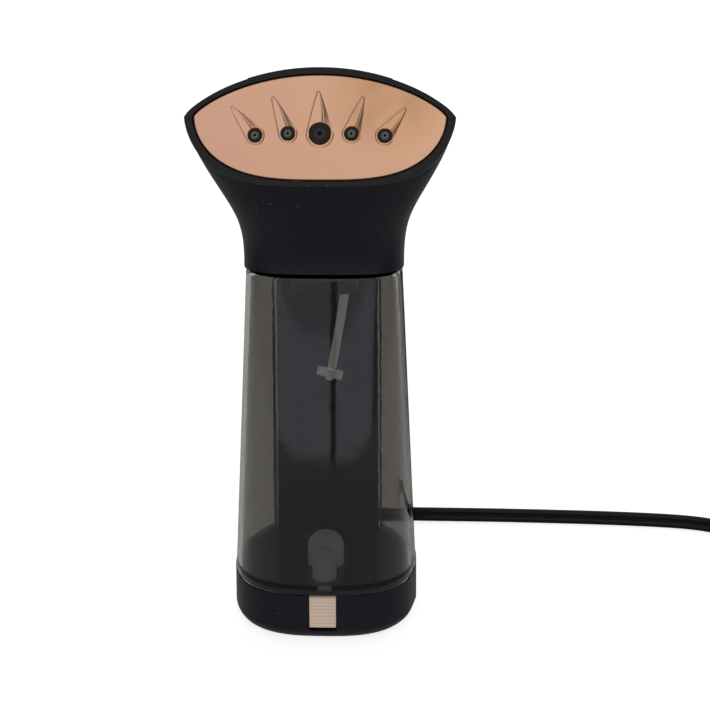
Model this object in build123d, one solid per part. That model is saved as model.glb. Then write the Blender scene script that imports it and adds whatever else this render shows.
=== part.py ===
from build123d import *
from math import cos, hypot, pi, radians, sin
import os

# Hand-held garment steamer, millimetres, +Z up. The origin is on the floor
# under the widest line of the water tank; the steam plate faces -Y.

# ---- mouldings and base ------------------------------------------------------
WALL = 2.2                       # moulded shell thickness
RUN = 0.3                        # clearance round a moving part
GLUE = 0.05                      # gap round a part that is pressed or glued in

BASE_LOW = 0.4                   # underside of the base; the rubber feet stand lower
BASE_TOP = 25.0                  # top of the base deck
BASE_HALF = 48.2
BASE_FRONT_DEPTH = 51.1          # from the widest line to the front
BASE_EDGE = 4.6                  # inset of the base's rounded lower edge
WIDEST_Y = -4.0                  # widest line of the base and of the foot of the tank
TAIL_HALF = 19.5
TAIL_Y = 60.0                    # where the tail's rounded end starts
TAIL_END = 74.0
COVER_T = 2.0                    # bottom cover
COVER_SCREWS = [(-34, 4), (34, 4), (-7.5, 58), (7.5, 58)]
SCREW_R = 1.2
SCREW_HEAD_R = 2.6
FOOT_T = 1.2                     # rubber feet, let into the cover
FRONT_FOOT = (58, 56, 16)        # width, length, corner radius
FRONT_FOOT_Y = -6.0
TAIL_FOOT = (26, 10)
TAIL_FOOT_Y = 46.0

# ---- tank --------------------------------------------------------------------
TANK_BOTTOM = 25.6
TANK_TOP = 184.4
TANK_FLOOR = 27.8                # underside of the tank's floor
TANK_ROUND = 2.6                 # rounding of the tank's upper edge
ROOF = TANK_TOP - WALL           # inside of the tank's roof
PLUG_SPOT = (0.5, -24.5)         # the fill plug's stopper, in the tank floor
PLUG_R = 9.3
STUD_SPOT = (0.5, -42.2)         # the tether stud of the same plug
STUD_R = 6.1
STRAP_LOW = 27.4                 # underside of the strap that joins the two
STRAP_T = 1.7
STRAP_HALF = 5.5
PORT_SPOT = (0, -8)              # water outlet in the roof of the tank
VALVE_LOW = 171.6
TUBE_POINTS = [(10.6, -9.0, 174.4), (8.2, -9.6, 158.0), (3.6, -12.0, 131.8)]
TUBE_R = 2.2
TUBE_BORE = 1.1

# ---- latch -------------------------------------------------------------------
LATCH_HALF = 6.6
LATCH_LOW = 8.2
LATCH_HIGH = 24.6
LATCH_RIBS = 8
TONGUE_Y = -50.5
TONGUE_TOP = 26.9                # the tongue reaches up behind the tank's front skirt

# ---- spine and grip ----------------------------------------------------------
SPINE_FRONT = 17.5               # front face of the column behind the tank
SPINE_REAR = 30.5
SPINE_HALF_LOW = 28.8            # half width at the base
SPINE_HALF_HIGH = 27.0           # half width at the head
SPINE_WALL = 1.8
GRIP_HALF_X = 16.5
GRIP_HALF_Y = 13.0
GRIP_PATH = [(58, 20), (69, 60), (76, 105), (72, 155), (54, 202), (26, 236), (0, 248)]
TRIGGER_ALONG = 0.60             # place of the trigger, as a share of the grip's axis
TRIGGER_HALF_X = 8.5
TRIGGER_HALF_UP = 18.0
LOCK_HALF = 5.0
LOCK_UP = 30.0                   # the lock slider sits this far above the trigger
LOCK_TRAVEL = 5.0

# ---- head and steam plate ----------------------------------------------------
NECK_Z = 185.4                   # underside of the head
PLATE_TILT = 16.0                # the steam plate leans back by this angle
PLATE_FOOT = (0, -54.0, 232.0)   # lower edge of the rim
RIM_HALF = 61.9                  # the almond-shaped rim round the plate
RIM_CORNER = 31.2                # its corners above its lower edge, in its own plane
RIM_LOW = -0.3
RIM_TOP = 53.6
RIM_DEPTH = 4.0
CLIP_LAND = (66, 0.4)            # raised land on top of the rim for the brush clip
CLIP_SLOT = (11.6, 1.1, 1.5)     # slots that the brush clips into: length, width, depth
CLIP_SLOT_BACK = 6.4             # behind the front of the rim
SIDE_SLOT = (48.6, 7.0, 33.0)    # place in the plate's plane, and turn in degrees
PLATE_HALF = 58.0
PLATE_CORNER = 31.6
PLATE_LOW = 2.3
PLATE_TOP = 50.8
PLATE_FACE = -0.9                # the plate's front is this far below the rim's
PLATE_T = 2.2
PLATE_BACK = PLATE_FACE - PLATE_T
GROOVE_DEPTH = 1.6
SEAL_T = 1.6
BLOCK_DEPTH = 16.0               # die-cast heater block behind the plate
BUTTON_AT = (0, 0, 248)
BUTTON_LEAN = 35.0               # button axis from the vertical, towards the rear
BUTTON_R = 7.0
LENS_R = 2.0

# ---- mains cord --------------------------------------------------------------
CORD_R = 2.1                     # one conductor of the flat twin cord
CORD_PITCH = 4.1                 # between the two conductor axes
CORD_Z = CORD_R + CORD_PITCH / 2
EXIT_Z = 11.5
MAINS_PLUG_AT = (254, 24, 9.2)

PLATE = Plane(
    origin=PLATE_FOOT,
    x_dir=(1, 0, 0),
    z_dir=(0, -cos(radians(PLATE_TILT)), sin(radians(PLATE_TILT))),
)
# widest point (y, z), lean of the section, half width, front depth, rear depth,
# powers of its front curve, powers of its rear curve
HEAD_SECTIONS = [
    ((-6.0, NECK_Z), 0, 39.5, 28.0, 36.5, (3.0, 3.6), (2.8, 2.6)),
    ((-10.0, 205.0), 18, 40.6, 27.0, 45.0, (2.8, 2.6), (2.7, 2.3)),
    ((-18.0, 222.0), 38, 45.3, 27.0, 48.0, (2.7, 2.2), (2.6, 2.0)),
    ((-29.0, 242.0), 58, 54.6, 29.5, 40.0, (2.8, 1.9), (2.4, 1.6)),
]
# nozzle centre in the plate's plane, ring radius, tip of its recess, half width of the recess
NOZZLES = [
    ((-29.6, 23.1), 3.25, (-38.3, 34.6), 4.4),
    ((-14.6, 24.0), 3.25, (-20.0, 38.8), 4.4),
    ((0.0, 24.0), 5.05, (-0.3, 41.6), 6.1),
    ((14.4, 24.0), 3.25, (19.5, 38.9), 4.4),
    ((29.6, 23.1), 3.25, (38.3, 34.6), 4.4),
]
CENTRE_NOZZLE = 2
BOTTOM = (Align.CENTER, Align.CENTER, Align.MIN)
parts = {}


# ---- outlines ----------------------------------------------------------------
def power_curve(half, depth, powers, steps=7):
    """Points of |x/half|^p + |v/depth|^q = 1 from (-half, 0) over (0, depth) to (half, 0)."""
    points = []
    for i in range(-steps, steps + 1):
        turn = i / steps * pi / 2
        side = 1 if turn >= 0 else -1
        x = side * half * abs(sin(turn)) ** (2 / powers[0])
        v = depth * max(cos(turn), 0) ** (2 / powers[1])
        points.append((x, v))
    return points


def lens_face(half, corner, low, high, low_powers, high_powers):
    """Almond outline: a lower and an upper curve that meet in two corners."""
    lower = [(x, corner - v) for x, v in power_curve(half, corner - low, low_powers)]
    upper = [(x, corner + v) for x, v in power_curve(half, high - corner, high_powers)]
    return make_face([Spline(*lower), Spline(*upper)])


def rim_face(inset=0.0):
    return lens_face(RIM_HALF - inset, RIM_CORNER, RIM_LOW + inset * 0.7, RIM_TOP - inset * 0.7,
                     (4.0, 1.6), (2.0, 1.28))


def plate_face(inset=0.0):
    return lens_face(PLATE_HALF - inset, PLATE_CORNER, PLATE_LOW + inset * 0.8,
                     PLATE_TOP - inset * 0.8, (3.1, 1.9), (2.0, 1.28))


def on_plate(face, front, depth):
    """Extrude a face in the plate's plane from front backwards by depth."""
    return extrude(PLATE.offset(front) * face, -depth)


def share_of(z, low, high):
    return (z - low) / (high - low)


def blend(at_low, at_high, share):
    return at_low + (at_high - at_low) * share


def spine_half(z):
    return blend(SPINE_HALF_LOW, SPINE_HALF_HIGH, share_of(z, BASE_TOP, NECK_Z))


def tank_face(z, inset=0.0):
    """Tank section: full round front, sides closing in on a channel for the spine."""
    share = share_of(z, TANK_BOTTOM, TANK_TOP)
    half = blend(47.3, 38.8, share) - inset
    front = blend(-55.1, -32.2, share) + inset
    wide_y = blend(WIDEST_Y, -6.0, share)
    heel = spine_half(z) + 0.9 + inset * 0.4
    heel_y = blend(28.0, 22.0, share) - inset * 1.6
    channel = SPINE_FRONT - 0.6 - inset
    powers = (2.85, blend(2.85, 3.1, share))
    bulge = 2.4
    round_front = [(x, wide_y - v) for x, v in power_curve(half, wide_y - front, powers)]
    middle = ((half + heel) / 2 + bulge, (wide_y + heel_y) / 2)
    return Pos(0, 0, z) * make_face([
        Spline(*round_front, tangents=[(0, -1), (0, 1)]),
        Spline((half, wide_y), middle, (heel, heel_y), tangents=[(0, 1), (-1, 1.6)]),
        Line((heel, heel_y), (heel, channel)),
        Line((heel, channel), (-heel, channel)),
        Line((-heel, channel), (-heel, heel_y)),
        Spline((-heel, heel_y), (-middle[0], middle[1]), (-half, wide_y),
               tangents=[(-1, -1.6), (0, -1)]),
    ])


def base_face(z, inset=0.0):
    """Base section: the tank's round front, running into a narrow tail for the grip."""
    half = BASE_HALF - inset
    depth = BASE_FRONT_DEPTH - inset
    round_front = [(x, WIDEST_Y - v) for x, v in power_curve(half, depth, (2.85, 2.85))]
    tail = TAIL_HALF - inset
    side = [(half, WIDEST_Y), (40.5 - inset, 13), (30 - inset, 30), (24 - inset, 48), (tail, TAIL_Y)]
    other_side = [(-x, y) for x, y in reversed(side)]
    return Pos(0, 0, z) * make_face([
        Spline(*round_front, tangents=[(0, -1), (0, 1)]),
        Spline(*side, tangents=[(0, 1), (-1, 2.2)]),
        Spline((tail, TAIL_Y), (0, TAIL_END - inset), (-tail, TAIL_Y), tangents=[(-1, 2.2), (-1, -2.2)]),
        Spline(*other_side, tangents=[(-1, -2.2), (0, -1)]),
    ])


def head_face(section, inset=0.0):
    """One section of the head, in a plane that leans from level to the plate's tilt."""
    (y, z), lean, half, low, high, low_powers, high_powers = section
    lift = inset if lean == 0 else 0
    plane = Plane(origin=(0, y, z + lift), x_dir=(1, 0, 0),
                  z_dir=(0, -sin(radians(lean)), cos(radians(lean))))
    return plane * lens_face(half - inset, 0, inset - low, high - inset, low_powers, high_powers)


def trigger_frame():
    """Plane on the grip's axis: +Y runs up along the grip and +Z points out to the rear."""
    curve = Spline(*[(0, y, z) for y, z in GRIP_PATH])
    up = curve % TRIGGER_ALONG
    return Plane(origin=curve @ TRIGGER_ALONG, x_dir=(-1, 0, 0), z_dir=(0, up.Z, -up.Y))


def tube(points, outer, inner=0.0):
    """Round tube or rod along a smooth 3-D path."""
    path = Spline(*points)
    start = Plane(origin=path @ 0, z_dir=path % 0)
    section = start * Circle(outer)
    if inner > 0:
        section = section - start * Circle(inner)
    return sweep(section, path=path)


def coil(radius, wire, length, turns):
    """Helical compression spring standing on z = 0, with open ends."""
    path = Helix(pitch=length / turns, height=length, radius=radius)
    section = Plane(origin=path @ 0, z_dir=path % 0) * Circle(wire / 2)
    return sweep(section, path=path, is_frenet=True)


def keep_largest(shape):
    return sorted(shape.solids(), key=lambda solid: solid.volume)[-1]


# ---- solids that several parts share -----------------------------------------
def base_solid(inset, low_edge, top):
    """Base block: a rounded lower edge below straight sides."""
    edge_z = BASE_LOW + 6.0
    low = loft([base_face(BASE_LOW, low_edge), base_face(BASE_LOW + 2.2, (low_edge + inset) * 0.46),
                base_face(edge_z, inset + 0.3)])
    return low + loft([base_face(edge_z, inset + 0.3), base_face(top, inset + 0.5)], ruled=True)


def head_solid(inset=0.0):
    faces = [head_face(section, inset) for section in HEAD_SECTIONS]
    faces.append(PLATE.offset(-RIM_DEPTH) * rim_face(inset + 0.2))
    return loft(faces)


def grip_solid(inset=0.0):
    path = Spline(*[(0, y, z) for y, z in GRIP_PATH])
    start = Plane(origin=path @ 0, x_dir=(1, 0, 0), z_dir=path % 0)
    return sweep(start * Ellipse(GRIP_HALF_X - inset, GRIP_HALF_Y - inset), path=path)


BASE_SOLID = base_solid(0, BASE_EDGE, BASE_TOP)
HEAD_SOLID = head_solid()
GRIP_SOLID = grip_solid()


# ---- base --------------------------------------------------------------------
def latch_window(margin, low, high):
    size_x = 2 * (LATCH_HALF + margin)
    return Pos(0, -53, (low + high) / 2) * Box(size_x, 14, high - low)


def plug_well(margin):
    """Stadium under the tank that the fill plug is drawn down into."""
    length = 40 - 2 * margin
    width = 26 - 2 * margin
    return Pos(0, -33.5, 0) * SlotOverall(length, width, rotation=90)


def foot_faces(margin=0.0):
    width, length, corner = FRONT_FOOT
    front = RectangleRounded(width + 2 * margin, length + 2 * margin, corner + margin)
    tail = SlotOverall(TAIL_FOOT[0] + 2 * margin, TAIL_FOOT[1] + 2 * margin)
    return [Pos(0, FRONT_FOOT_Y, 0) * front, Pos(0, TAIL_FOOT_Y, 0) * tail]


def make_base():
    well_low = 7.0
    shell = BASE_SOLID - base_solid(WALL, BASE_EDGE + WALL, BASE_TOP - WALL)
    well = extrude(Pos(0, 0, well_low) * plug_well(0), BASE_TOP - well_low)
    inside = extrude(Pos(0, 0, well_low + WALL) * plug_well(WALL - 0.6), BASE_TOP)
    shell = (shell + (well & BASE_SOLID)) - inside
    shell = shell - latch_window(RUN, LATCH_LOW - 2.6, BASE_TOP + 1)
    for x, y in COVER_SCREWS:
        shell = shell + Pos(x, y, BASE_LOW + COVER_T) * Cylinder(3.2, BASE_TOP - 4, align=BOTTOM)
        shell = shell - Pos(x, y, 0) * Cylinder(SCREW_R + GLUE, 14, align=BOTTOM)
    shell = shell - Pos(0, TAIL_END - 3, EXIT_Z) * Rot(90, 0, 0) * Cylinder(4.3, 12)
    floor = extrude(base_face(BASE_LOW, BASE_EDGE + WALL + 0.2), COVER_T)
    parts["base_shell"] = shell - floor
    make_cover(floor)


def make_cover(floor):
    """Bottom cover with counterbored screws, and the rubber feet let into it."""
    head_seat = BASE_LOW + 1.1
    cover = floor
    for x, y in COVER_SCREWS:
        cover = cover - Pos(x, y, 0) * Cylinder(SCREW_R + 0.4, 10, align=BOTTOM)
        cover = cover - Pos(x, y, 0) * Cylinder(SCREW_HEAD_R + 0.4, head_seat, align=BOTTOM)
    for face in foot_faces(GLUE):
        cover = cover - extrude(face, FOOT_T)
    parts["base_cover"] = cover
    parts["rubber_feet"] = Compound([extrude(face, FOOT_T) for face in foot_faces()])
    parts["base_screws"] = Compound([screw(x, y, head_seat, 10) for x, y in COVER_SCREWS])


def screw(x, y, z, length):
    """Pan-head screw with its head just below z and its thread running upwards."""
    head_t = 1.0
    head = Pos(0, 0, -head_t) * Cylinder(SCREW_HEAD_R, head_t, align=BOTTOM)
    cross = Box(3.0, 0.7, 1.0) + Box(0.7, 3.0, 1.0)
    head = head - Pos(0, 0, -head_t) * cross
    return Pos(x, y, z) * (head + Cylinder(SCREW_R, length, align=BOTTOM))


def make_latch():
    """Ribbed slider in the front of the base, with the tongue that reaches into the tank."""
    proud = Pos(0, -0.9, 0) * BASE_SOLID
    middle = (LATCH_LOW + LATCH_HIGH) / 2
    face = (Pos(0, -52.6, middle) * Box(2 * LATCH_HALF, 12, LATCH_HIGH - LATCH_LOW)) & proud
    pitch = 1.9
    for i in range(LATCH_RIBS):
        z = LATCH_LOW + 1.7 + i * pitch
        face = face - Pos(0, -55.9, z) * Rot(0, 90, 0) * Cylinder(0.55, 20)
    face = face & (Pos(0, -54.2, middle) * Box(2 * LATCH_HALF, 4.4, 40))
    carrier = Pos(0, -51.2, 18) * Box(2 * LATCH_HALF, 2.0, 7)
    tongue_low = 14.5
    tongue = Pos(0, TONGUE_Y, tongue_low) * Box(7, 1.6, TONGUE_TOP - tongue_low, align=BOTTOM)
    parts["tank_latch"] = face + carrier + tongue
    parts["latch_spring"] = Pos(0, -50.2, 9.3) * coil(1.2, 0.4, 4.8, 4)


# ---- tank --------------------------------------------------------------------
def tank_loft(inset, low, high):
    return loft([tank_face(low, inset), tank_face(high, inset)], ruled=True)


def tank_crown():
    """Rounded upper edge of the tank, as a quarter round in three steps."""
    low = TANK_TOP - TANK_ROUND
    faces = []
    for angle in (0, 30, 60, 90):
        inset = TANK_ROUND * (1 - cos(radians(angle)))
        faces.append(tank_face(low + TANK_ROUND * sin(radians(angle)), inset))
    return loft(faces)


def make_tank():
    shell = tank_loft(0, TANK_BOTTOM, TANK_TOP - TANK_ROUND) + tank_crown()
    shell = shell - tank_loft(WALL, TANK_FLOOR + WALL, ROOF)
    shell = shell - tank_loft(1.4, TANK_BOTTOM - 0.5, TANK_FLOOR)
    shell = shell - Pos(0, 18, TANK_BOTTOM) * Box(9, 12, 2 * (TANK_FLOOR - TANK_BOTTOM))
    shell = shell - Pos(*PLUG_SPOT, TANK_FLOOR) * Cylinder(PLUG_R + GLUE, 3 * WALL)
    shell = shell - Pos(*STUD_SPOT, TANK_FLOOR) * Cylinder(STUD_R + GLUE, 3 * WALL)
    shell = shell - Pos(*PORT_SPOT, ROOF) * Cylinder(4.0, 3 * WALL)
    shell = shell - strap(0.1, STRAP_LOW, STRAP_T + 0.1)
    parts["tank_body"] = shell
    pins = dome_pin(PLUG_SPOT, PLUG_R, 46.5) + dome_pin(STUD_SPOT, STUD_R, 46.0)
    parts["fill_plug"] = pins + strap(0, STRAP_LOW, STRAP_T)


def strap(margin, low, thickness):
    """Strap under the tank's floor, from the stopper to its tether stud."""
    length = PLUG_SPOT[1] - STUD_SPOT[1]
    middle = (PLUG_SPOT[1] + STUD_SPOT[1]) / 2
    outline = SlotCenterToCenter(length, 2 * (STRAP_HALF + margin), rotation=90)
    return extrude(Pos(PLUG_SPOT[0], middle, low) * outline, thickness)


def dome_pin(spot, radius, top):
    """Upright pin with a rounded top, from the underside of the strap up to top."""
    pin = Cylinder(radius, top - STRAP_LOW, align=BOTTOM)
    return Pos(*spot, STRAP_LOW) * fillet(pin.edges().sort_by(Axis.Z)[-1], radius * 0.8)


def make_tank_valve():
    body = extrude(Pos(*PORT_SPOT, VALVE_LOW) * SlotOverall(34, 20), ROOF - VALVE_LOW)
    waist = SlotOverall(40, 26) - SlotOverall(29, 16)
    body = body - extrude(Pos(*PORT_SPOT, ROOF - 3.4) * waist, 3)
    body = body - Pos(*PORT_SPOT, VALVE_LOW + 1.2) * Cylinder(5.0, 6.2, align=BOTTOM)
    body = body - Pos(*PORT_SPOT, VALVE_LOW) * Cylinder(3.2, 40)
    parts["tank_valve_seat"] = body - tube(TUBE_POINTS, TUBE_R)
    disc = Pos(0, 0, 5.7) * Cylinder(4.6, 1.6, align=BOTTOM)
    stem = Pos(0, 0, 7.3) * Cylinder(1.5, 5.2, align=BOTTOM)
    parts["valve_poppet"] = Pos(*PORT_SPOT, VALVE_LOW) * (disc + stem)
    parts["valve_spring"] = Pos(*PORT_SPOT, VALVE_LOW + 1.5) * coil(3.9, 0.5, 3.8, 3)
    gasket_t = 0.85
    gasket = Cylinder(7.0, gasket_t, align=BOTTOM) - Cylinder(4.6, gasket_t, align=BOTTOM)
    parts["dock_gasket"] = Pos(*PORT_SPOT, NECK_Z - gasket_t) * gasket


def make_pickup():
    """Soft tube that hangs in the water, with a three-way weighted filter on its end."""
    parts["pickup_tube"] = tube(TUBE_POINTS, TUBE_R, TUBE_BORE)
    cross = Rot(0, 90, 0) * Cylinder(2.35, 13)
    nub = Pos(0, -3.0, 0) * Rot(90, 0, 0) * Cylinder(2.3, 6)
    filter_body = fillet((cross + nub).edges().filter_by(GeomType.CIRCLE), 0.5)
    parts["pickup_filter"] = Pos(2.6, -12.4, 129.1) * Rot(0, 13, 0) * filter_body


# ---- spine and grip ----------------------------------------------------------
def spine_loft(inset, low, high):
    depth = SPINE_REAR - SPINE_FRONT - 2 * inset
    middle = (SPINE_FRONT + SPINE_REAR) / 2
    faces = []
    for z in (low, high):
        outline = RectangleRounded(2 * (spine_half(z) - inset), depth, min(4.0, depth / 3))
        faces.append(Pos(0, middle, z) * outline)
    return loft(faces, ruled=True)


def make_spine():
    """Hollow column behind the tank that carries the head and the control board."""
    inner = spine_loft(SPINE_WALL, BASE_TOP + SPINE_WALL, NECK_Z - SPINE_WALL)
    shell = spine_loft(0, BASE_TOP, NECK_Z) - inner
    split = SPINE_REAR - 5
    front_half = Pos(0, split - 50, 100) * Box(100, 100, 300)
    parts["spine_front"] = shell & front_half
    parts["spine_cover"] = shell - front_half
    board_y = 22.2
    board_t = 1.6
    parts["control_board"] = Pos(0, board_y, 110) * Box(40, board_t, 96)
    components = []
    # centre (x, z) and size (x, depth, z) of the relay, capacitor, controller and choke
    for (x, z), size in [((-10, 140), (15, 3.8, 12)), ((10, 138), (12, 3.8, 18)),
                         ((0, 105), (8, 1.8, 10)), ((-8, 80), (12, 3.6, 14))]:
        y = board_y + board_t / 2 + size[1] / 2
        components.append(Pos(x, y, z) * Box(*size))
    parts["board_components"] = Compound(components)


def trigger_box(half_x, half_up, front, rear):
    """Box in the trigger's own frame; front and rear are distances from the grip's axis."""
    return trigger_frame() * Pos(0, 0, (front + rear) / 2) * Box(2 * half_x, 2 * half_up, rear - front)


def lock_box(margin, travel, front, rear):
    """Box for the lock slider, on the rear of the grip above the trigger."""
    half = LOCK_HALF + margin
    box = Box(2 * half, 2 * half + travel, rear - front)
    return trigger_frame() * Pos(0, LOCK_UP + travel / 2, (front + rear) / 2) * box


def press_move(distance):
    """Move along the trigger's press direction, forward if distance is negative."""
    return Pos(trigger_frame().z_dir * distance)


def make_grip():
    """Rear grip: two clamshell halves, with openings for the trigger and its lock."""
    shell = GRIP_SOLID - grip_solid(WALL)
    shell = shell - HEAD_SOLID - Pos(0, 56, BASE_TOP - 25) * Box(60, 60, 50)
    shell = shell - trigger_box(TRIGGER_HALF_X + RUN, TRIGGER_HALF_UP + RUN, -20, 0)
    shell = shell - lock_box(RUN, LOCK_TRAVEL, 0, 20)
    left = Pos(-50, 50, 150) * Box(100, 200, 400)
    parts["grip_left"] = keep_largest(shell & left)
    parts["grip_right"] = keep_largest(shell - left)


def make_trigger():
    proud = press_move(-5.0) * GRIP_SOLID
    paddle = trigger_box(TRIGGER_HALF_X, TRIGGER_HALF_UP, -30, -7.5) & proud
    parts["trigger"] = keep_largest(paddle)
    frame = trigger_frame()
    parts["trigger_spring"] = frame * Pos(0, 8, -7.0) * coil(2.4, 0.5, 8.3, 5)
    parts["trigger_switch"] = frame * Pos(0, -8, 4.2) * Box(6.4, 18, 9)
    parts["spring_seat"] = frame * Pos(0, 8, 5.4) * Box(13, 8, 6.4)
    slider = lock_box(0, 0, 7.5, 20) & (press_move(1.2) * GRIP_SOLID)
    parts["trigger_lock"] = keep_largest(slider)


# ---- head --------------------------------------------------------------------
def head_rear_side():
    """Everything behind and above the seam between the head's two shells."""
    far_y = 120
    far_z = 330
    corner = PLATE.offset(-RIM_DEPTH).from_local_coords(Vector(0, RIM_CORNER, 0))
    seam = [section[0] for section in HEAD_SECTIONS] + [(corner.Y, corner.Z)]
    below = (seam[0][0], seam[0][1] - 30)
    above = (corner.Y - 30, corner.Z + 20)
    corners = [seam[-1], above, (above[0], far_z), (far_y, far_z), (far_y, below[1]), below, seam[0]]
    edges = [Line(first, second) for first, second in zip(corners, corners[1:])]
    outline = make_face([Spline(*seam)] + edges)
    side = Plane(origin=(-90, 0, 0), x_dir=(0, 1, 0), z_dir=(1, 0, 0))
    return extrude(side * outline, 180)


def clip_slots():
    """Three slots just behind the rim that the fabric brush clips into."""
    length, width, depth = CLIP_SLOT
    back = PLATE.offset(-CLIP_SLOT_BACK)
    slots = back * Pos(0, RIM_LOW, 0) * Box(length, 2 * depth, width)
    x, s, turn = SIDE_SLOT
    for side in (-1, 1):
        slots = slots + back * Pos(side * x, s, 0) * Rot(0, 0, side * turn) * Box(length, 2 * depth, width)
    return slots


def make_head():
    shell = HEAD_SOLID - head_solid(WALL)
    shell = shell - Pos(*PORT_SPOT, NECK_Z) * Cylinder(4.6, 8)
    shell = shell - button_pin(BUTTON_R + RUN, -30, 60)
    shell = shell - lens_pin(LENS_R + GLUE)
    hose_way = Pos(0, 30, 222) * Rot(65, 0, 0) * Cylinder(6, 16)
    shell = shell - hose_way
    rear = head_rear_side()
    parts["head_rear_shell"] = keep_largest(shell & rear)
    parts["head_front_shell"] = keep_largest(shell - rear - clip_slots())


def button_frame():
    lean = radians(BUTTON_LEAN)
    return Plane(origin=BUTTON_AT, x_dir=(1, 0, 0), z_dir=(0, sin(lean), cos(lean)))


def button_pin(radius, low, high):
    return button_frame() * Pos(0, 0, low) * Cylinder(radius, high - low, align=BOTTOM)


def lens_pin(radius):
    return button_frame() * Pos(0, -14, 0) * Cylinder(radius, 60, align=BOTTOM)


def make_button():
    """Power button on the rear of the head, with its switch below, and the indicator lens."""
    proud = Pos(button_frame().z_dir * 1.6) * HEAD_SOLID
    parts["power_button"] = keep_largest(button_pin(BUTTON_R, 12, 60) & proud)
    parts["power_switch"] = button_frame() * Pos(0, 0, 4) * Box(12, 12, 5)
    parts["indicator_lens"] = keep_largest((lens_pin(LENS_R) & HEAD_SOLID) - head_solid(WALL))


# ---- steam plate -------------------------------------------------------------
def make_bezel():
    """Rim round the plate, notched where the head's two halves meet."""
    land = rim_face(-CLIP_LAND[1]) & Pos(0, RIM_TOP, 0) * Rectangle(CLIP_LAND[0], 20)
    rim = on_plate(rim_face(), 0, RIM_DEPTH) + on_plate(land, 0, RIM_DEPTH)
    rim = rim - on_plate(plate_face(-0.25), 0.1, RIM_DEPTH + 0.2)
    for side in (-1, 1):
        notch = Pos(side * RIM_HALF, RIM_CORNER - 1.0, 0) * Rectangle(12, 0.5)
        rim = rim - on_plate(notch, 0.1, 0.8)
    parts["bezel"] = rim


def make_plate():
    plate = on_plate(plate_face(), PLATE_FACE, PLATE_T)
    block = on_plate(plate_face(11.0), PLATE_BACK, BLOCK_DEPTH)
    for centre, ring, tip, half in NOZZLES:
        plate = plate - groove(centre, tip, half)
    for centre, ring, tip, half in NOZZLES:
        plate = plate - on_plate(Pos(*centre) * Circle(ring), PLATE_FACE + 1, PLATE_T + 2)
        block = block - on_plate(Pos(*centre) * Circle(ring * 0.45), PLATE_BACK, 5)
    parts["steam_plate"] = plate
    parts["plate_seal"] = on_plate(plate_face(2.0) - plate_face(6.0), PLATE_BACK, SEAL_T)
    element = make_element()
    parts["heater_block"] = block - element
    parts["heating_element"] = element


def make_element():
    """U-shaped tubular heating element, cast half into the back of the heater block."""
    depth = PLATE_BACK - BLOCK_DEPTH
    points = [(-33, 37.5), (-15, 40), (15, 40), (33, 34), (33, 24), (15, 17), (-15, 17), (-33, 18.5)]
    path = Spline(*[PLATE.from_local_coords(Vector(x, s, depth)) for x, s in points])
    start = Plane(origin=path @ 0, z_dir=path % 0)
    return sweep(start * Circle(3.2), path=path)


def groove(centre, tip, half):
    """Teardrop recess that rises from a nozzle to a tip and deepens towards the nozzle."""
    length = hypot(tip[0] - centre[0], tip[1] - centre[1])
    ux, us = (tip[0] - centre[0]) / length, (tip[1] - centre[1]) / length

    def place(along, across):
        return (centre[0] + ux * along - us * across, centre[1] + us * along + ux * across)

    shoulder = length * 0.42
    point = place(length, 0)
    outline = make_face([
        ThreePointArc(place(0, half), place(-half, 0), place(0, -half)),
        Bezier(place(0, -half), place(shoulder, -half), point),
        Bezier(point, place(shoulder, half), place(0, half)),
    ])
    top = PLATE.offset(PLATE_FACE + 0.01) * outline
    x, s = place(half * 0.25, 0)
    deepest = Vertex(*PLATE.from_local_coords(Vector(x, s, PLATE_FACE - GROOVE_DEPTH)))
    return loft([top, deepest], ruled=True)


def make_nozzles():
    """Pressed-in steam nozzles: a dark ring with an inner jet."""
    rings, jets = [], []
    for centre, ring, tip, half in NOZZLES:
        spot = Pos(*centre)
        cup = ring * 0.55
        outer = on_plate(spot * Circle(ring - 0.03), PLATE_FACE + 0.5, PLATE_T + 0.5)
        outer = fillet(outer.edges().filter_by(GeomType.CIRCLE).group_by(Axis.Y)[0], 0.35)
        outer = outer - on_plate(spot * Circle(cup), PLATE_FACE + 1.0, PLATE_T + 2)
        jet = on_plate(spot * Circle(cup - 0.02), PLATE_FACE + 0.1, PLATE_T)
        jet = jet - on_plate(spot * Circle(ring * 0.2), PLATE_FACE + 1.0, PLATE_T + 2)
        rings.append(outer)
        jets.append(jet)
    parts["centre_nozzle_ring"] = rings.pop(CENTRE_NOZZLE)
    parts["centre_nozzle_jet"] = jets.pop(CENTRE_NOZZLE)
    parts["nozzle_rings"] = Compound(rings)
    parts["nozzle_jets"] = Compound(jets)


def make_inside():
    """Pump, hoses and safety cut-outs inside the head."""
    body = Rot(90, 0, 0) * Cylinder(8.5, 34)
    flange = Rot(90, 0, 0) * Box(21, 21, 4)
    parts["pump"] = Pos(-14, 2, 206) * (body + flange)
    inlet = [(0, -8, 187.8), (1.5, -7, 197), (-0.5, -5, 203.5), (-4.8, -4.4, 206)]
    parts["suction_hose"] = tube(inlet, 2.0, 1.1)
    outlet = [(-14, -16, 206), (-14, -20, 208), (-13, -23.5, 216), (-11, -26, 226)]
    parts["feed_hose"] = tube(outlet, 2.2, 1.2)
    back = PLATE.offset(PLATE_BACK - BLOCK_DEPTH) * Pos(0, 28, 0)
    parts["thermostat"] = back * Pos(0, 0, -4.5) * Cylinder(8.0, 9)
    parts["thermal_fuse"] = back * Pos(24, 0, -2.2) * Rot(0, 90, 0) * Cylinder(2.0, 12)


# ---- cord --------------------------------------------------------------------
def twin_section():
    pair = Pos(0, CORD_PITCH / 2) * Circle(CORD_R) + Pos(0, -CORD_PITCH / 2) * Circle(CORD_R)
    return pair + Rectangle(2.2, CORD_PITCH)


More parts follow.
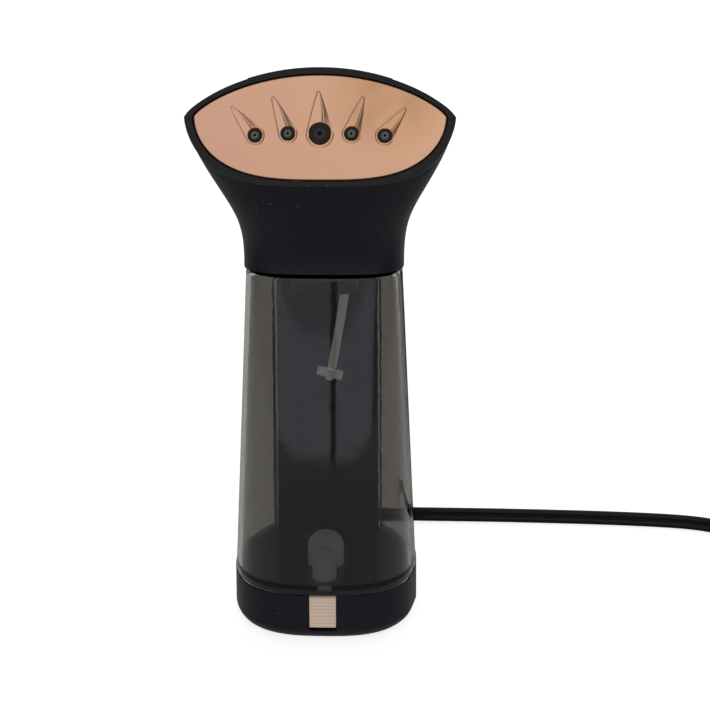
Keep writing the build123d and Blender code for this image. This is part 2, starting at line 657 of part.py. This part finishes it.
def make_cord():
    """Flat twin cord, cut short, from the tail of the base round to a moulded mains plug."""
    path = Spline((0, TAIL_END + 4.5, EXIT_Z), (0.6, 82.5, 10.8), (6, 90, 8.0), (18, 93.5, 5.2),
                  (48, 93, CORD_Z), (90, 92.4, CORD_Z), (136, 91, CORD_Z), (195, 87, CORD_Z),
                  (228, 79, CORD_Z), (247, 62, CORD_Z), (253.5, 44, CORD_Z), (254, 38.2, CORD_Z))
    start = Plane(origin=path @ 0, x_dir=(-1, 0, 0), z_dir=path % 0)
    parts["power_cord"] = sweep(start * twin_section(), path=path, is_frenet=False)
    collar = Cylinder(6.0, 2.4, align=BOTTOM) + Cylinder(4.2, 11.3, align=BOTTOM)
    parts["strain_relief"] = Pos(0, TAIL_END - 7.5, EXIT_Z) * Rot(-90, 0, 0) * collar
    x, y, z = MAINS_PLUG_AT
    length = 28
    grip = Pos(x, y, z) * Box(24, length, 17)
    grip = fillet(grip.edges().filter_by(Axis.Y), 5)
    grip = grip - Pos(x, y + length / 2, CORD_Z) * Box(5.4, 1.0, 9.4)
    parts["mains_plug"] = fillet(grip.faces().sort_by(Axis.Y)[0].edges(), 1.5)
    blade_x = 6.35
    blades = [Pos(x + side * blade_x, y - length / 2 - 9, z) * Box(1.6, 18, 6.4) for side in (-1, 1)]
    parts["plug_blades"] = Compound(blades)


make_base()
make_latch()
make_tank()
make_tank_valve()
make_pickup()
make_spine()
make_grip()
make_trigger()
make_head()
make_button()
make_bezel()
make_plate()
make_nozzles()
make_inside()
make_cord()

os.makedirs("parts", exist_ok=True)
for node, shape in parts.items():
    export_step(shape, f"parts/{node}.step")
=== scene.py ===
import math

import bpy
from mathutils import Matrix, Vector


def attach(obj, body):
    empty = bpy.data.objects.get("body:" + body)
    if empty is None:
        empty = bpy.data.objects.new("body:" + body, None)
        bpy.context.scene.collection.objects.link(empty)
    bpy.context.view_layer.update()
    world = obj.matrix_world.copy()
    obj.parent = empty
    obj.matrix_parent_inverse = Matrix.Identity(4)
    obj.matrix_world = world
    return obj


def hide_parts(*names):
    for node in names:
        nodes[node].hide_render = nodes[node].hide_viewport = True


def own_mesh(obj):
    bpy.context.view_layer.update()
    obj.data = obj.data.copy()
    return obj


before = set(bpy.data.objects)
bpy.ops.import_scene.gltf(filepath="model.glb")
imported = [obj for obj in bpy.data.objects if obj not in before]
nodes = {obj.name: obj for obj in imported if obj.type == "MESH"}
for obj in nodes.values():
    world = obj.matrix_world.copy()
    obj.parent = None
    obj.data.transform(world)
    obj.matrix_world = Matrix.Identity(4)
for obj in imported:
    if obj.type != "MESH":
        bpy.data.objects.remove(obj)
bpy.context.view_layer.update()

# ---- studio ---------------------------------------------------------------------
CAMERA_AT = (0.030, -0.6615, 0.3432)   # metres, in the frame of the steamer
CAMERA_PITCH = 17.5                    # degrees below level
CAMERA_YAW = 1.3
LENS_MM = 68.4
SENSOR_MM = 36.0
BOX_EDGE = 0.70                        # azimuth of the soft boxes' outer edges, radians from the front
GAP_AT = 0.007                         # azimuth of the dark gap between the two boxes
GAP_HALF = 0.020
SIDE_LEVEL = 0.12                      # brightness of the studio's sides in reflections
FLOOR_HALF = 30.0                      # metres
BACKDROP = 1.3                         # how bright the camera sees the studio behind
FLOOR_GLOW = 0.80                      # the floor's own light as the camera sees it
MIRROR_EDGE = 1.02                     # metres from the steamer where the floor starts to mirror the boxes
MIRROR_BLUR = 0.12                     # half width of that edge
MIRROR_NEAR = 0.27                     # what shiny surfaces see of the floor nearer than that
MIRROR_FAR = 0.80

LATCH_FACE_Y = -0.0519                 # the latch is black behind this
LATCH_FACE_TOP = 0.0248

STEPS_PER_TURN = 24                    # of a spring's wire
WIRE_CORNERS = 8

# ---- steam plate, in millimetres ---------------------------------------------------
PLATE_TILT = 16.0
PLATE_FOOT = (0, -54.0, 232.0)
PLATE_HALF = 57.9
PLATE_CORNER = 31.6
PLATE_LOW = 2.55
PLATE_TOP = 50.75
PLATE_FRONT = 0.9                      # behind the front of the rim
PLATE_BACK = 3.1
PLATE_ROWS = 230
PLATE_COLUMNS = 340
EDGE_ROUND = 0.9
WELL_DEPTH = 2.0                       # hole that a nozzle sits in
WELL_SHADE_DEPTH = 2.5                        # behind the rim; below this the wells are painted black, painted shade of the deep holes
WALL_WIDTH = 0.4                       # low wall along the left side of a recess
WALL_DEPTH = 0.38
CREASE_DEPTH = 1.05                    # step at the crease that runs from the tip to the nozzle
CREASE_WIDTH = 0.30
TIP_HALF = 0.80                        # half width of a recess at its rounded tip
# nozzle centre (across, up), ring radius, tip of its recess, half width of the recess
NOZZLES = [
    ((-29.6, 23.1), 3.25, (-40.0, 35.4), 4.4),
    ((-14.6, 24.0), 3.25, (-21.4, 39.9), 4.4),
    ((0.0, 24.0), 5.05, (-0.7, 42.3), 6.4),
    ((14.4, 24.0), 3.25, (19.4, 40.0), 4.4),
    ((29.6, 23.1), 3.25, (38.5, 35.2), 4.4),
]


def make_camera():
    data = bpy.data.cameras.new("camera")
    data.lens = LENS_MM
    data.sensor_width = SENSOR_MM
    data.clip_start = 0.01
    camera = bpy.data.objects.new("camera", data)
    camera.location = CAMERA_AT
    camera.rotation_euler = (math.radians(90 - CAMERA_PITCH), 0, math.radians(CAMERA_YAW))
    bpy.context.scene.collection.objects.link(camera)
    bpy.context.scene.camera = camera


def studio_value(tree, operation, first, second=0.0, third=0.0):
    """One math node; its inputs may be numbers or other nodes' outputs."""
    node = tree.nodes.new("ShaderNodeMath")
    node.operation = operation
    for socket, value in zip(node.inputs, (first, second, third)):
        if isinstance(value, bpy.types.NodeSocket):
            tree.links.new(value, socket)
        else:
            socket.default_value = value
    return node.outputs[0]


def studio_step(tree, value, low, high, at_low, at_high):
    """Smooth step from at_low to at_high while value goes from low to high."""
    node = tree.nodes.new("ShaderNodeMapRange")
    node.interpolation_type = "SMOOTHSTEP"
    for key, number in (("From Min", low), ("From Max", high)):
        node.inputs[key].default_value = number
    for key, number in (("To Min", at_low), ("To Max", at_high)):
        if isinstance(number, bpy.types.NodeSocket):
            tree.links.new(number, node.inputs[key])
        else:
            node.inputs[key].default_value = number
    tree.links.new(value, node.inputs["Value"])
    return node.outputs["Result"]


def dark_gap(tree, across, forward):
    """0 in the dark gap between the two soft boxes and 1 elsewhere, by the direction of a mirrored ray."""
    azimuth = studio_value(tree, "ARCTAN2", across, forward)
    from_gap = studio_value(tree, "ABSOLUTE", studio_value(tree, "SUBTRACT", azimuth, GAP_AT))
    return studio_step(tree, from_gap, GAP_HALF * 0.8, GAP_HALF * 1.2, 0.0, 1.0)


def make_world():
    """White studio. What shiny surfaces mirror is two soft boxes in front, dim sides and white behind."""
    world = bpy.data.worlds.new("studio")
    world.use_nodes = True
    tree = world.node_tree
    tree.nodes.clear()
    coords = tree.nodes.new("ShaderNodeTexCoord")
    split = tree.nodes.new("ShaderNodeSeparateXYZ")
    tree.links.new(coords.outputs["Generated"], split.inputs[0])
    across, depth, height = split.outputs
    forward = studio_value(tree, "MULTIPLY", depth, -1.0)
    box_level = studio_step(tree, height, 0.05, 0.40, MIRROR_FAR, 1.0)
    off_centre = studio_value(tree, "ABSOLUTE", studio_value(tree, "ARCTAN2", across, forward))
    front = studio_step(tree, off_centre, BOX_EDGE - 0.03, BOX_EDGE + 0.03, box_level, SIDE_LEVEL)
    above_gap = studio_step(tree, height, 0.10, 0.25, 0.0, 1.0)
    low_gap = studio_value(tree, "MAXIMUM", dark_gap(tree, across, forward), above_gap)
    front = studio_value(tree, "MULTIPLY", front, low_gap)
    around = studio_step(tree, depth, -0.1, 0.35, front, 1.0)
    path = tree.nodes.new("ShaderNodeLightPath")
    direct = studio_value(tree, "MAXIMUM", path.outputs["Is Camera Ray"], path.outputs["Is Transmission Ray"])
    strength = studio_value(tree, "MAXIMUM", around, direct)
    shown = studio_value(tree, "MULTIPLY", path.outputs["Is Camera Ray"], BACKDROP)
    strength = studio_value(tree, "MAXIMUM", strength, shown)
    back = tree.nodes.new("ShaderNodeBackground")
    tree.links.new(strength, back.inputs["Strength"])
    out = tree.nodes.new("ShaderNodeOutputWorld")
    tree.links.new(back.outputs[0], out.inputs["Surface"])
    bpy.context.scene.world = world


def make_floor(material):
    size = FLOOR_HALF
    mesh = bpy.data.meshes.new("floor")
    mesh.from_pydata([(-size, -size, 0), (size, -size, 0), (size, size, 0), (-size, size, 0)], [],
                     [(0, 1, 2, 3)])
    floor = bpy.data.objects.new("floor", mesh)
    floor.data.materials.append(material)
    bpy.context.scene.collection.objects.link(floor)


# ---- materials ---------------------------------------------------------------------
class Shader:
    """A small wrapper that makes the node trees below short to write."""

    def __init__(self, name, **values):
        self.material = bpy.data.materials.new(name)
        self.material.use_nodes = True
        self.tree = self.material.node_tree
        self.principled = self.tree.nodes["Principled BSDF"]
        coords = self.tree.nodes.new("ShaderNodeTexCoord")
        self.place = coords.outputs["Object"]
        for key, value in values.items():
            self.set(key, value)

    def set(self, key, value):
        socket = self.principled.inputs[key.replace("_", " ")]
        if isinstance(value, bpy.types.NodeSocket):
            self.tree.links.new(value, socket)
        elif isinstance(value, tuple) and len(value) == 3:
            socket.default_value = (*value, 1)
        else:
            socket.default_value = value

    def noise(self, scale, detail=3.0, stretch=(1, 1, 1)):
        mapping = self.tree.nodes.new("ShaderNodeMapping")
        mapping.inputs["Scale"].default_value = stretch
        self.tree.links.new(self.place, mapping.inputs["Vector"])
        node = self.tree.nodes.new("ShaderNodeTexNoise")
        node.inputs["Scale"].default_value = scale
        node.inputs["Detail"].default_value = detail
        self.tree.links.new(mapping.outputs[0], node.inputs["Vector"])
        return node.outputs["Fac"]

    def ramp(self, value, low, high, out_low, out_high):
        node = self.tree.nodes.new("ShaderNodeMapRange")
        for key, number in (("From Min", low), ("From Max", high), ("To Min", out_low), ("To Max", out_high)):
            node.inputs[key].default_value = number
        self.tree.links.new(value, node.inputs["Value"])
        return node.outputs["Result"]

    def mix(self, factor, first, second):
        node = self.tree.nodes.new("ShaderNodeMix")
        node.data_type = "RGBA"
        self.tree.links.new(factor, node.inputs["Factor"])
        for key, value in (("A", first), ("B", second)):
            socket = [s for s in node.inputs if s.name == key and s.type == "RGBA"][0]
            if isinstance(value, bpy.types.NodeSocket):
                self.tree.links.new(value, socket)
            else:
                socket.default_value = (*value, 1)
        return [s for s in node.outputs if s.type == "RGBA"][0]

    def bump(self, height, strength, distance):
        node = self.tree.nodes.new("ShaderNodeBump")
        node.inputs["Strength"].default_value = strength
        node.inputs["Distance"].default_value = distance
        self.tree.links.new(height, node.inputs["Height"])
        self.set("Normal", node.outputs["Normal"])


def black_moulding(name, colour, roughness, grain, grain_depth, sheen=0.5):
    """Fine-textured black plastic with a faint unevenness in its sheen and a few specks of dust."""
    shader = Shader(name)
    cloud = shader.noise(18.0)
    lighter = tuple(channel * 1.5 for channel in colour)
    mottled = shader.mix(shader.ramp(cloud, 0.35, 0.7, 0.0, 1.0), colour, lighter)
    dust = shader.ramp(shader.noise(620.0, detail=0.0), 0.80, 0.84, 0.0, 0.5)
    shader.set("Base Color", shader.mix(dust, mottled, (0.10, 0.10, 0.10)))
    shader.set("Roughness", shader.ramp(cloud, 0.3, 0.7, roughness - 0.05, roughness + 0.05))
    shader.set("Specular_IOR_Level", sheen)
    shader.set("Sheen_Weight", sheen * 0.10)
    shader.set("Sheen_Roughness", 0.35)
    shader.bump(shader.noise(grain, detail=2.0), 0.25, grain_depth)
    return shader.material


def smoked_plastic():
    """Clear grey-brown plastic of the tank, with cool reflections."""
    shader = Shader("smoked_tank", Base_Color=(0.275, 0.265, 0.247), IOR=1.5, Transmission_Weight=1.0,
                    Specular_Tint=(0.74, 0.77, 0.88))
    shader.set("Roughness", shader.ramp(shader.noise(60.0), 0.3, 0.8, 0.02, 0.05))
    shader.bump(shader.noise(9.0, detail=1.0), 0.04, 0.0006)
    return shader.material


def copper_plate():
    """Rose-gold coated plate: pinker to the left, warmer to the right, darker in its upper right."""
    shader = Shader("copper_plate", Metallic=0.85)
    tree = shader.tree
    split = tree.nodes.new("ShaderNodeSeparateXYZ")
    tree.links.new(shader.place, split.inputs[0])
    across = shader.ramp(split.outputs["X"], -0.06, 0.06, 0.0, 1.0)
    tone = shader.mix(across, (0.84, 0.475, 0.34), (0.90, 0.53, 0.32))
    distance = tree.nodes.new("ShaderNodeVectorMath")
    distance.operation = "DISTANCE"
    distance.inputs[1].default_value = (0.030, -0.042, 0.274)
    tree.links.new(shader.place, distance.inputs[0])
    near = shader.ramp(distance.outputs["Value"], 0.004, 0.030, 1.0, 0.0)
    uneven = shader.ramp(shader.noise(60.0, detail=2.0), 0.3, 0.6, 0.4, 1.0)
    patch = studio_value(tree, "MULTIPLY", near, uneven)
    coated = shader.mix(patch, tone, (0.66, 0.34, 0.17))
    tilt = math.radians(PLATE_TILT)
    depth = tree.nodes.new("ShaderNodeVectorMath")
    depth.operation = "DOT_PRODUCT"
    depth.inputs[1].default_value = (0, math.cos(tilt), -math.sin(tilt))
    tree.links.new(shader.place, depth.inputs[0])
    # the wells are painted near black below a set depth: painted shade in the deep holes
    shade_from = plate_point(0, 0, WELL_SHADE_DEPTH).dot(Vector(depth.inputs[1].default_value))
    well_shade_mask = studio_value(tree, "GREATER_THAN", depth.outputs["Value"], shade_from)
    shader.set("Base Color", shader.mix(well_shade_mask, coated, (0.004, 0.004, 0.004)))
    shader.set("Roughness", shader.ramp(shader.noise(30.0), 0.3, 0.7, 0.27, 0.31))
    shader.bump(shader.noise(2600.0, detail=2.0), 0.12, 0.00004)
    return shader.material


def rose_metal(name="rose_gold"):
    shader = Shader(name, Metallic=1.0, Base_Color=(0.95, 0.80, 0.66))
    shader.set("Roughness", shader.ramp(shader.noise(300.0, stretch=(0.1, 1, 1)), 0.3, 0.7, 0.22, 0.38))
    return shader


def latch_material():
    """Rose-gold face; the tongue above it and the carrier behind it are black."""
    shader = rose_metal("latch_rose_gold")
    tree = shader.tree
    split = tree.nodes.new("ShaderNodeSeparateXYZ")
    tree.links.new(shader.place, split.inputs[0])
    in_front = studio_value(tree, "LESS_THAN", split.outputs["Y"], LATCH_FACE_Y)
    below = studio_value(tree, "LESS_THAN", split.outputs["Z"], LATCH_FACE_TOP)
    face = studio_value(tree, "MULTIPLY", in_front, below)
    shader.set("Base Color", shader.mix(face, (0.01, 0.01, 0.011), (0.95, 0.74, 0.59)))
    shader.set("Metallic", studio_value(tree, "MULTIPLY", face, 0.12))
    # the face also glows faintly: painted light that brightens the rose-gold face
    shader.set("Emission_Color", (0.95, 0.74, 0.59))
    shader.set("Emission_Strength", studio_value(tree, "MULTIPLY", face, 0.10))
    return shader.material


def metal(name, colour, roughness):
    shader = Shader(name, Metallic=1.0, Base_Color=colour)
    shader.set("Roughness", shader.ramp(shader.noise(200.0), 0.3, 0.7, roughness - 0.06, roughness + 0.08))
    shader.bump(shader.noise(1500.0), 0.1, 0.00004)
    return shader.material


def silicone(name, colour, glow):
    """Soft silicone; the glow stands for the light that it passes on from behind."""
    shader = Shader(name, Roughness=0.45, Subsurface_Weight=0.3, Subsurface_Scale=0.003)
    lighter = tuple(min(channel * 1.15, 1) for channel in colour)
    mottled = shader.mix(shader.noise(90.0), colour, lighter)
    shader.set("Base Color", mottled)
    shader.set("Emission_Color", mottled)
    shader.set("Emission_Strength", glow)
    shader.bump(shader.noise(700.0), 0.15, 0.00008)
    return shader.material


def plain_plastic(name, colour, roughness=0.4, gloss=0.5):
    shader = Shader(name, Specular_IOR_Level=gloss)
    lighter = tuple(min(channel * 1.2, 1) for channel in colour)
    shader.set("Base Color", shader.mix(shader.noise(80.0), colour, lighter))
    shader.set("Roughness", shader.ramp(shader.noise(120.0), 0.3, 0.7, roughness - 0.05, roughness + 0.05))
    shader.bump(shader.noise(1400.0), 0.15, 0.00005)
    return shader.material


def floor_material():
    """Pale floor. In mirrors it is dim near the object and as bright as the soft boxes beyond."""
    shader = Shader("pale_floor", Roughness=0.7, Specular_IOR_Level=0.0)
    tree = shader.tree
    path = tree.nodes.new("ShaderNodeLightPath")
    glossy = path.outputs["Is Glossy Ray"]
    pale = shader.mix(shader.noise(3.0), (0.55, 0.55, 0.55), (0.57, 0.57, 0.57))
    shader.set("Base Color", shader.mix(glossy, pale, (0.0, 0.0, 0.0)))
    length = tree.nodes.new("ShaderNodeVectorMath")
    length.operation = "LENGTH"
    tree.links.new(shader.place, length.inputs[0])
    geometry = tree.nodes.new("ShaderNodeNewGeometry")
    split = tree.nodes.new("ShaderNodeSeparateXYZ")
    tree.links.new(geometry.outputs["Incoming"], split.inputs[0])
    across = studio_value(tree, "MULTIPLY", split.outputs["X"], -1.0)
    off_centre = studio_value(tree, "ABSOLUTE", studio_value(tree, "ARCTAN2", across, split.outputs["Y"]))
    far = studio_step(tree, off_centre, BOX_EDGE - 0.05, BOX_EDGE + 0.05, MIRROR_FAR, SIDE_LEVEL)
    far = studio_value(tree, "MULTIPLY", far, dark_gap(tree, across, split.outputs["Y"]))
    edge = (MIRROR_EDGE - MIRROR_BLUR, MIRROR_EDGE + MIRROR_BLUR)
    mirrored = studio_step(tree, length.outputs["Value"], *edge, MIRROR_NEAR, far)
    direct = studio_value(tree, "MAXIMUM", path.outputs["Is Camera Ray"], path.outputs["Is Transmission Ray"])
    level = studio_value(tree, "MULTIPLY", direct, FLOOR_GLOW)
    level = studio_value(tree, "ADD", level, studio_value(tree, "MULTIPLY", mirrored, glossy))
    shader.set("Emission_Color", (1.0, 1.0, 1.0))
    shader.set("Emission_Strength", level)
    return shader.material


# ---- steam plate, with its pressed-in recesses ----------------------------------------
def plate_point(x, up, depth):
    """Point in metres, from millimetres across, up and behind the front of the rim."""
    tilt = math.radians(PLATE_TILT)
    foot = Vector(PLATE_FOOT)
    along = Vector((0, math.sin(tilt), math.cos(tilt)))
    back = Vector((0, math.cos(tilt), -math.sin(tilt)))
    return (foot + Vector((x, 0, 0)) + along * up + back * depth) * 0.001


def outline_at(up):
    """Share of the way from the plate's corners to its lower or upper end, and that curve's powers."""
    if up < PLATE_CORNER:
        return (PLATE_CORNER - up) / (PLATE_CORNER - PLATE_LOW), (3.1, 1.9)
    return (up - PLATE_CORNER) / (PLATE_TOP - PLATE_CORNER), (2.0, 1.28)


def plate_half_width(up):
    share, (across_power, up_power) = outline_at(up)
    return PLATE_HALF * max(1 - share ** up_power, 0) ** (1 / across_power)


def rolled_edge(x, up):
    """How far the plate's surface drops towards its rim."""
    share, (across_power, up_power) = outline_at(up)
    reach = PLATE_CORNER - PLATE_LOW if up < PLATE_CORNER else PLATE_TOP - PLATE_CORNER
    inside = 1 - (abs(x) / PLATE_HALF) ** across_power - share ** up_power
    slope_x = across_power * (abs(x) / PLATE_HALF) ** (across_power - 1) / PLATE_HALF
    slope_up = up_power * share ** (up_power - 1) / reach if share > 0 else 0
    distance = max(inside, 0) / max(math.hypot(slope_x, slope_up), 0.001)
    if distance >= EDGE_ROUND:
        return 0
    return EDGE_ROUND - math.sqrt(EDGE_ROUND ** 2 - (EDGE_ROUND - distance) ** 2)


def recess(x, up, nozzle):
    """Depth of one teardrop recess: a low wall on its left, a curved crease, and a slope on its right."""
    (centre_x, centre_up), ring, (tip_x, tip_up), half = nozzle
    length = math.hypot(tip_x - centre_x, tip_up - centre_up)
    unit_x = (tip_x - centre_x) / length
    unit_up = (tip_up - centre_up) / length
    along = (x - centre_x) * unit_x + (up - centre_up) * unit_up
    across = (x - centre_x) * unit_up - (up - centre_up) * unit_x
    if math.hypot(along, across) < ring - 0.25:
        return WELL_DEPTH
    if along > length + TIP_HALF or along < -half:
        return 0
    share = min(max(along, 0) / length, 1)
    if along < 0:
        edge = math.sqrt(half ** 2 - along ** 2)
    elif along < length:
        edge = TIP_HALF + (half - TIP_HALF) * (1 - share) ** 0.9
    else:
        edge = math.sqrt(TIP_HALF ** 2 - (along - length) ** 2)
    if along < 0:
        return WALL_DEPTH * min(max((edge - abs(across)) / WALL_WIDTH, 0), 1)
    crease = (0.3 * math.sin(math.pi * share) - 0.05 + 0.45 * share ** 2) * edge
    if across < crease:
        return WALL_DEPTH * min(max((edge + across) / WALL_WIDTH, 0), 1)
    step = min((across - crease) / CREASE_WIDTH, 1)
    slope = min(max(edge - across, 0) / max(edge - crease, 0.1), 1)
    deep = WALL_DEPTH + CREASE_DEPTH * (1 - share * 0.5)
    return (1 - step) * WALL_DEPTH + step * slope * deep


def plate_front(x, up):
    deepest = max(recess(x, up, nozzle) for nozzle in NOZZLES)
    return PLATE_FRONT + max(deepest, rolled_edge(x, up))


def make_plate(material):
    """Closed mesh: a fine front surface in rows, a wall round it and a flat back."""
    middle = (PLATE_LOW + PLATE_TOP) / 2
    reach = (PLATE_TOP - PLATE_LOW) / 2 - 0.02
    points = []
    for row in range(PLATE_ROWS):
        up = middle + reach * math.sin(math.pi * (row / (PLATE_ROWS - 1) - 0.5))
        half = plate_half_width(up)
        for column in range(PLATE_COLUMNS):
            x = half * (2 * column / (PLATE_COLUMNS - 1) - 1)
            points.append(plate_point(x, up, plate_front(x, up)))
    faces = []
    for row in range(PLATE_ROWS - 1):
        for column in range(PLATE_COLUMNS - 1):
            low = row * PLATE_COLUMNS + column
            faces.append((low, low + 1, low + PLATE_COLUMNS + 1, low + PLATE_COLUMNS))
    last = PLATE_ROWS - 1
    rim = [column for column in range(PLATE_COLUMNS)]
    rim += [row * PLATE_COLUMNS + PLATE_COLUMNS - 1 for row in range(1, PLATE_ROWS)]
    rim += [last * PLATE_COLUMNS + column for column in range(PLATE_COLUMNS - 2, -1, -1)]
    rim += [row * PLATE_COLUMNS for row in range(last - 1, 0, -1)]
    tilt = math.radians(PLATE_TILT)
    back = Vector((0, math.cos(tilt), -math.sin(tilt)))
    origin = plate_point(0, 0, PLATE_BACK)
    first_back = len(points)
    for index in rim:
        points.append(points[index] + back * (origin - points[index]).dot(back))
    for step in range(len(rim)):
        after = (step + 1) % len(rim)
        faces.append((rim[after], rim[step], first_back + step, first_back + after))
    faces.append(tuple(range(first_back + len(rim) - 1, first_back - 1, -1)))
    mesh = bpy.data.meshes.new("plate_surface")
    mesh.from_pydata(points, [], faces)
    front_faces = (PLATE_ROWS - 1) * (PLATE_COLUMNS - 1)
    mesh.polygons.foreach_set("use_smooth", [index < front_faces for index in range(len(faces))])
    mesh.materials.append(material)
    plate = bpy.data.objects.new("plate_surface", mesh)
    bpy.context.scene.collection.objects.link(plate)
    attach(plate, "body")
    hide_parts("steam_plate")


# ---- springs ----------------------------------------------------------------------------
def make_spring(node, material, body, foot, axis, radius, wire, turns, length):
    """Helical spring in millimetres."""
    foot = Vector(foot)
    axis = Vector(axis).normalized()
    side = axis.orthogonal().normalized()
    other = axis.cross(side)
    steps = turns * STEPS_PER_TURN
    points = []
    for step in range(steps + 1):
        turn = 2 * math.pi * step / STEPS_PER_TURN
        out = side * math.cos(turn) + other * math.sin(turn)
        centre = foot + axis * (length * step / steps) + out * radius
        for corner in range(WIRE_CORNERS):
            angle = 2 * math.pi * corner / WIRE_CORNERS
            spoke = out * math.cos(angle) + axis * math.sin(angle)
            points.append((centre + spoke * (wire / 2)) * 0.001)
    faces = [tuple(range(WIRE_CORNERS - 1, -1, -1))]
    for step in range(steps):
        for corner in range(WIRE_CORNERS):
            first = step * WIRE_CORNERS + corner
            second = step * WIRE_CORNERS + (corner + 1) % WIRE_CORNERS
            faces.append((first, second, second + WIRE_CORNERS, first + WIRE_CORNERS))
    faces.append(tuple(range(steps * WIRE_CORNERS, (steps + 1) * WIRE_CORNERS)))
    mesh = bpy.data.meshes.new(node + "_wire")
    mesh.from_pydata(points, [], faces)
    mesh.polygons.foreach_set("use_smooth", [True] * len(faces))
    mesh.materials.append(material)
    spring = bpy.data.objects.new(node + "_wire", mesh)
    bpy.context.scene.collection.objects.link(spring)
    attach(spring, body)
    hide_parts(node)
    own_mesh(spring)


def paint(material, *names):
    for name in names:
        node = nodes[name]
        node.data.materials.clear()
        node.data.materials.append(material)


# ---- finish every carried-over CAD node ----------------------------------------------
case = black_moulding("black_case", (0.0028, 0.0038, 0.0100), 0.42, 1800.0, 0.00006, 0.42)
paint(case, "base_shell", "base_cover", "spine_front", "spine_cover", "head_front_shell",
      "head_rear_shell")
paint(black_moulding("grip_case", (0.007, 0.0075, 0.009), 0.5, 1500.0, 0.00008), "grip_left", "grip_right")
paint(black_moulding("bezel_black", (0.004, 0.004, 0.005), 0.30, 2200.0, 0.00003, 0.3), "bezel", "trigger")
paint(smoked_plastic(), "tank_body")
make_plate(copper_plate())
paint(latch_material(), "tank_latch")
paint(rose_metal().material, "trigger_lock", "power_button")
# nozzle rings: bronze darkened to near black, painted shade for the shadowed gap round each jet
paint(metal("bronze_with_painted_shade", (0.030, 0.022, 0.018), 0.22), "nozzle_rings", "centre_nozzle_ring")
paint(metal("jet_steel", (0.13, 0.125, 0.125), 0.3), "nozzle_jets")
# the flush centre jet disc is painted black: painted shade standing for the deep hole
paint(black_moulding("centre_jet_painted_shade", (0.004, 0.004, 0.005), 0.35, 2000.0, 0.00003), "centre_nozzle_jet")
paint(silicone("milky_silicone", (0.80, 0.82, 0.86), 0.20), "pickup_tube", "pickup_filter", "suction_hose",
      "feed_hose")
paint(silicone("grey_silicone", (0.60, 0.61, 0.64), 0.105), "fill_plug", "dock_gasket", "plate_seal")
paint(plain_plastic("valve_plastic", (0.10, 0.10, 0.11)), "tank_valve_seat", "valve_poppet")
steel = metal("spring_steel", (0.45, 0.45, 0.46), 0.25)
paint(steel, "base_screws", "heating_element")
make_spring("latch_spring", steel, "body", (0, -50.2, 9.3), (0, 0, 1), radius=1.2, wire=0.4,
            turns=4, length=4.8)
make_spring("valve_spring", steel, "tank", (0, -8, 173.1), (0, 0, 1), radius=3.9, wire=0.5,
            turns=3, length=3.8)
make_spring("trigger_spring", steel, "body", (0, 57.55, 178.83), (0, 0.9457, 0.3250),
            radius=2.4, wire=0.5, turns=5, length=8.3)
paint(metal("cast_aluminium", (0.55, 0.55, 0.55), 0.45), "heater_block")
paint(metal("blade_brass", (0.62, 0.47, 0.22), 0.25), "plug_blades")
paint(plain_plastic("solder_mask", (0.01, 0.09, 0.04), 0.3), "control_board")
paint(plain_plastic("component_black", (0.02, 0.022, 0.03)), "board_components", "trigger_switch",
      "spring_seat", "power_switch", "pump")
paint(plain_plastic("ceramic", (0.65, 0.64, 0.60), 0.35), "thermostat", "thermal_fuse")
paint(plain_plastic("black_rubber", (0.008, 0.008, 0.008), 0.6), "rubber_feet", "strain_relief")
paint(plain_plastic("cord_black", (0.002, 0.002, 0.0028), 0.30, 0.25), "power_cord", "mains_plug")
paint(plain_plastic("amber_lens", (0.35, 0.12, 0.02), 0.2), "indicator_lens")

make_floor(floor_material())
make_world()
make_camera()
bpy.context.scene.view_settings.view_transform = "Standard"
